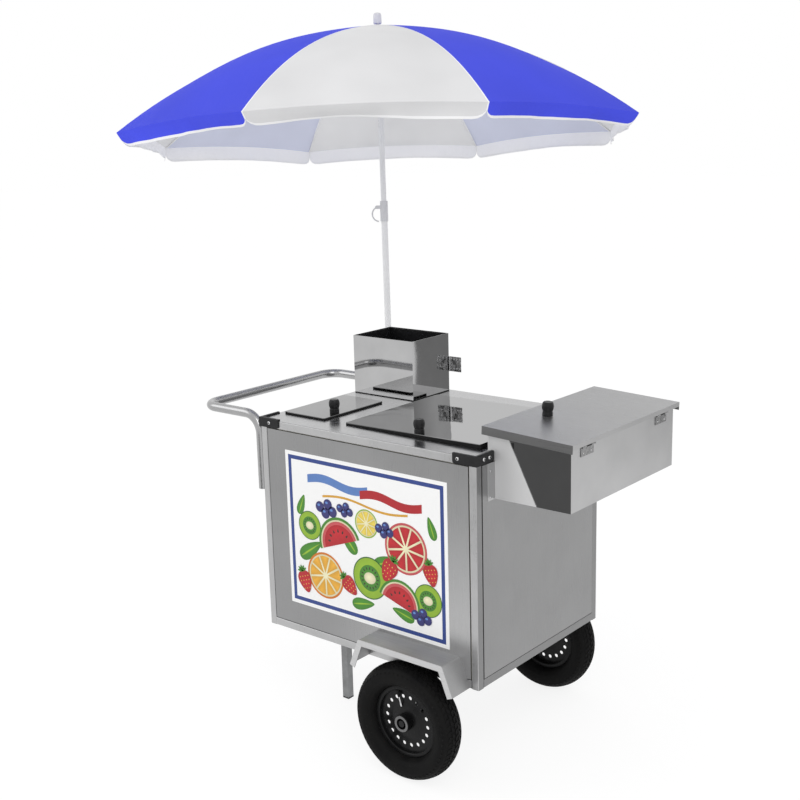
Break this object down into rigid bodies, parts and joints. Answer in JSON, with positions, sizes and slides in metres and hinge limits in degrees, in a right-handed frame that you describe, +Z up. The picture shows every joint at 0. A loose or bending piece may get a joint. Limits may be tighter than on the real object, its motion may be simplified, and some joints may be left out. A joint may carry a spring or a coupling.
{
  "type": "fruit salad cart",
  "caption": "Two-wheeled serving cart with an insulated framed cabinet, lidded counter wells, a counter container, a hinged end box, a push handle and a folding umbrella.",
  "frame": {"origin": "on the ground under the middle of the outline with the umbrella open", "axes": "+Z up, +X along the cart from the push handle to the hinged box, -Y towards the poster side"},
  "size_m": [2.0498, 1.7412, 2.224],
  "materials": {
    "aluminium_profile": "satin",
    "black_plastic": "satin",
    "white_plastic": "satin",
    "black_painted_steel": "gloss",
    "satin_steel": "satin",
    "polished_steel": "polished",
    "grey_steel": "satin",
    "bearing_steel": "satin",
    "pole_steel": "satin",
    "black_rubber": "matte",
    "tyre": "matte",
    "canopy_cloth": "matte",
    "poster_print": "satin",
    "insulation_board": "matte"
  },
  "bodies": {
    "cart": {"frame_profiles": "aluminium_profile", "corner_caps": "black_plastic", "side_panels": "satin_steel", "end_panels": "satin_steel", "floor_panel": "satin_steel", "countertop": "polished_steel", "poster": "poster_print", "ice_wells": "satin_steel", "insulation": "insulation_board", "fender": "polished_steel", "axle": "grey_steel", "underframe": "grey_steel", "leg_feet": "black_plastic", "push_handle": "polished_steel", "pole_socket": "grey_steel", "lower_pole": "pole_steel", "pole_collar": "white_plastic", "container": "polished_steel", "container_gasket": "black_rubber", "container_plate": "polished_steel", "side_box": "polished_steel", "box_hinge_leaves": "polished_steel"},
    "left_lid": {"left_lid": "polished_steel", "left_lid_gasket": "black_rubber", "left_lid_knob": "black_plastic"},
    "front_lid": {"front_lid": "polished_steel", "front_lid_gasket": "black_rubber", "front_lid_knob": "black_plastic"},
    "side_box_lid": {"side_box_lid": "polished_steel", "side_box_lid_knob": "black_plastic", "lid_hinge_leaves": "polished_steel"},
    "container_liner": {"container_liner": "black_plastic"},
    "front_wheel": {"front_tyre": "tyre", "front_rim": "black_painted_steel", "front_bearings": "bearing_steel"},
    "rear_wheel": {"rear_tyre": "tyre", "rear_rim": "black_painted_steel", "rear_bearings": "bearing_steel"},
    "clamp_lever": {"clamp_lever": "white_plastic"},
    "upper_pole": {"upper_pole": "pole_steel", "umbrella_crown": "white_plastic", "finial": "white_plastic", "canopy": "canopy_cloth"},
    "runner": {"runner": "white_plastic"},
    "rib_1": {"rib_1": "pole_steel"},
    "rib_2": {"rib_2": "pole_steel"},
    "rib_3": {"rib_3": "pole_steel"},
    "rib_4": {"rib_4": "pole_steel"},
    "rib_5": {"rib_5": "pole_steel"},
    "rib_6": {"rib_6": "pole_steel"},
    "rib_7": {"rib_7": "pole_steel"},
    "rib_8": {"rib_8": "pole_steel"},
    "stretcher_1": {"stretcher_1": "pole_steel"},
    "stretcher_2": {"stretcher_2": "pole_steel"},
    "stretcher_3": {"stretcher_3": "pole_steel"},
    "stretcher_4": {"stretcher_4": "pole_steel"},
    "stretcher_5": {"stretcher_5": "pole_steel"},
    "stretcher_6": {"stretcher_6": "pole_steel"},
    "stretcher_7": {"stretcher_7": "pole_steel"},
    "stretcher_8": {"stretcher_8": "pole_steel"}
  },
  "joints": [
    {"name": "front_wheel_spin", "type": "hinge", "parent": "cart", "child": "front_wheel", "pos_m": [0.54831, -0.78358, 0.1775], "axis": [0, 1, 0], "continuous": true},
    {"name": "rear_wheel_spin", "type": "hinge", "parent": "cart", "child": "rear_wheel", "pos_m": [0.54831, -0.04358, 0.1775], "axis": [0, 1, 0], "continuous": true},
    {"name": "left_lid_lift", "type": "slide", "parent": "cart", "child": "left_lid", "axis": [0, 0, 1], "range_m": [0, 0.25]},
    {"name": "front_lid_lift", "type": "slide", "parent": "cart", "child": "front_lid", "axis": [0, 0, 1], "range_m": [0, 0.25]},
    {"name": "container_liner_lift", "type": "slide", "parent": "cart", "child": "container_liner", "axis": [0, 0, 1], "range_m": [0, 0.25]},
    {"name": "side_box_lid_swing", "type": "hinge", "parent": "cart", "child": "side_box_lid", "pos_m": [1.01631, -0.36307, 1.0296], "axis": [0, 1, 0], "range_deg": [0, 140]},
    {"name": "upper_pole_slide", "type": "slide", "parent": "cart", "child": "upper_pole", "axis": [-0.067, 0.0689, 0.9954], "range_m": [0, 0.22]},
    {"name": "clamp_lever_swing", "type": "hinge", "parent": "cart", "child": "clamp_lever", "pos_m": [-0.15596, -0.03117, 1.58606], "axis": [-0.6378, 0.7642, -0.0958], "range_deg": [0, 120]},
    {"name": "runner_slide", "type": "slide", "parent": "upper_pole", "child": "runner", "axis": [0.067, -0.0689, -0.9954], "range_m": [0, 0.3367], "deforming": ["canopy"]},
    {"name": "rib_1_fold", "type": "hinge", "parent": "upper_pole", "child": "rib_1", "pos_m": [-0.17368, 0.01221, 2.19162], "axis": [0.966, 0.2543, 0.0474], "range_deg": [0, 62.01]},
    {"name": "rib_2_fold", "type": "hinge", "parent": "upper_pole", "child": "rib_2", "pos_m": [-0.16454, 0.01915, 2.19175], "axis": [0.5063, 0.862, -0.0256], "range_deg": [0, 62.01]},
    {"name": "rib_3_fold", "type": "hinge", "parent": "upper_pole", "child": "rib_3", "pos_m": [-0.16294, 0.0305, 2.19107], "axis": [-0.2499, 0.9647, -0.0836], "range_deg": [0, 62.01]},
    {"name": "rib_4_fold", "type": "hinge", "parent": "upper_pole", "child": "rib_4", "pos_m": [-0.16984, 0.03961, 2.18998], "axis": [-0.8597, 0.5023, -0.0926], "range_deg": [0, 62.01]},
    {"name": "rib_5_fold", "type": "hinge", "parent": "upper_pole", "child": "rib_5", "pos_m": [-0.18118, 0.04115, 2.18911], "axis": [-0.966, -0.2543, -0.0474], "range_deg": [0, 62.01]},
    {"name": "rib_6_fold", "type": "hinge", "parent": "upper_pole", "child": "rib_6", "pos_m": [-0.19033, 0.03422, 2.18897], "axis": [-0.5063, -0.862, 0.0256], "range_deg": [0, 62.01]},
    {"name": "rib_7_fold", "type": "hinge", "parent": "upper_pole", "child": "rib_7", "pos_m": [-0.19192, 0.02287, 2.18965], "axis": [0.2499, -0.9647, 0.0836], "range_deg": [0, 62.01]},
    {"name": "rib_8_fold", "type": "hinge", "parent": "upper_pole", "child": "rib_8", "pos_m": [-0.18503, 0.01375, 2.19075], "axis": [0.8597, -0.5023, 0.0926], "range_deg": [0, 62.01]},
    {"name": "stretcher_1_fold", "type": "hinge", "parent": "runner", "child": "stretcher_1", "pos_m": [-0.16479, -0.00674, 2.00016], "axis": [-0.966, -0.2543, -0.0474], "range_deg": [0, 48.28]},
    {"name": "stretcher_2_fold", "type": "hinge", "parent": "runner", "child": "stretcher_2", "pos_m": [-0.15046, -0.00094, 2.00072], "axis": [-0.5063, -0.862, 0.0256], "range_deg": [0, 48.28]},
    {"name": "stretcher_3_fold", "type": "hinge", "parent": "runner", "child": "stretcher_3", "pos_m": [-0.14438, 0.01327, 2.00015], "axis": [0.2499, -0.9647, 0.0836], "range_deg": [0, 48.28]},
    {"name": "stretcher_4_fold", "type": "hinge", "parent": "runner", "child": "stretcher_4", "pos_m": [-0.15011, 0.02757, 1.99877], "axis": [0.8597, -0.5023, 0.0926], "range_deg": [0, 48.28]},
    {"name": "stretcher_5_fold", "type": "hinge", "parent": "runner", "child": "stretcher_5", "pos_m": [-0.16429, 0.03358, 1.9974], "axis": [0.966, 0.2543, 0.0474], "range_deg": [0, 48.28]},
    {"name": "stretcher_6_fold", "type": "hinge", "parent": "runner", "child": "stretcher_6", "pos_m": [-0.17862, 0.02778, 1.99684], "axis": [0.5063, 0.862, -0.0256], "range_deg": [0, 48.28]},
    {"name": "stretcher_7_fold", "type": "hinge", "parent": "runner", "child": "stretcher_7", "pos_m": [-0.1847, 0.01357, 1.99741], "axis": [-0.2499, 0.9647, -0.0836], "range_deg": [0, 48.28]},
    {"name": "stretcher_8_fold", "type": "hinge", "parent": "runner", "child": "stretcher_8", "pos_m": [-0.17897, -0.00073, 1.99879], "axis": [-0.8597, 0.5023, -0.0926], "range_deg": [0, 48.28]}
  ],
  "couplings": [
    {"joint": "rib_1_fold", "follows": "runner_slide", "rad_per_m": 3.2139},
    {"joint": "rib_2_fold", "follows": "runner_slide", "rad_per_m": 3.2139},
    {"joint": "rib_3_fold", "follows": "runner_slide", "rad_per_m": 3.2139},
    {"joint": "rib_4_fold", "follows": "runner_slide", "rad_per_m": 3.2139},
    {"joint": "rib_5_fold", "follows": "runner_slide", "rad_per_m": 3.2139},
    {"joint": "rib_6_fold", "follows": "runner_slide", "rad_per_m": 3.2139},
    {"joint": "rib_7_fold", "follows": "runner_slide", "rad_per_m": 3.2139},
    {"joint": "rib_8_fold", "follows": "runner_slide", "rad_per_m": 3.2139},
    {"joint": "stretcher_1_fold", "follows": "runner_slide", "rad_per_m": 2.5023},
    {"joint": "stretcher_2_fold", "follows": "runner_slide", "rad_per_m": 2.5023},
    {"joint": "stretcher_3_fold", "follows": "runner_slide", "rad_per_m": 2.5023},
    {"joint": "stretcher_4_fold", "follows": "runner_slide", "rad_per_m": 2.5023},
    {"joint": "stretcher_5_fold", "follows": "runner_slide", "rad_per_m": 2.5023},
    {"joint": "stretcher_6_fold", "follows": "runner_slide", "rad_per_m": 2.5023},
    {"joint": "stretcher_7_fold", "follows": "runner_slide", "rad_per_m": 2.5023},
    {"joint": "stretcher_8_fold", "follows": "runner_slide", "rad_per_m": 2.5023}
  ]
}
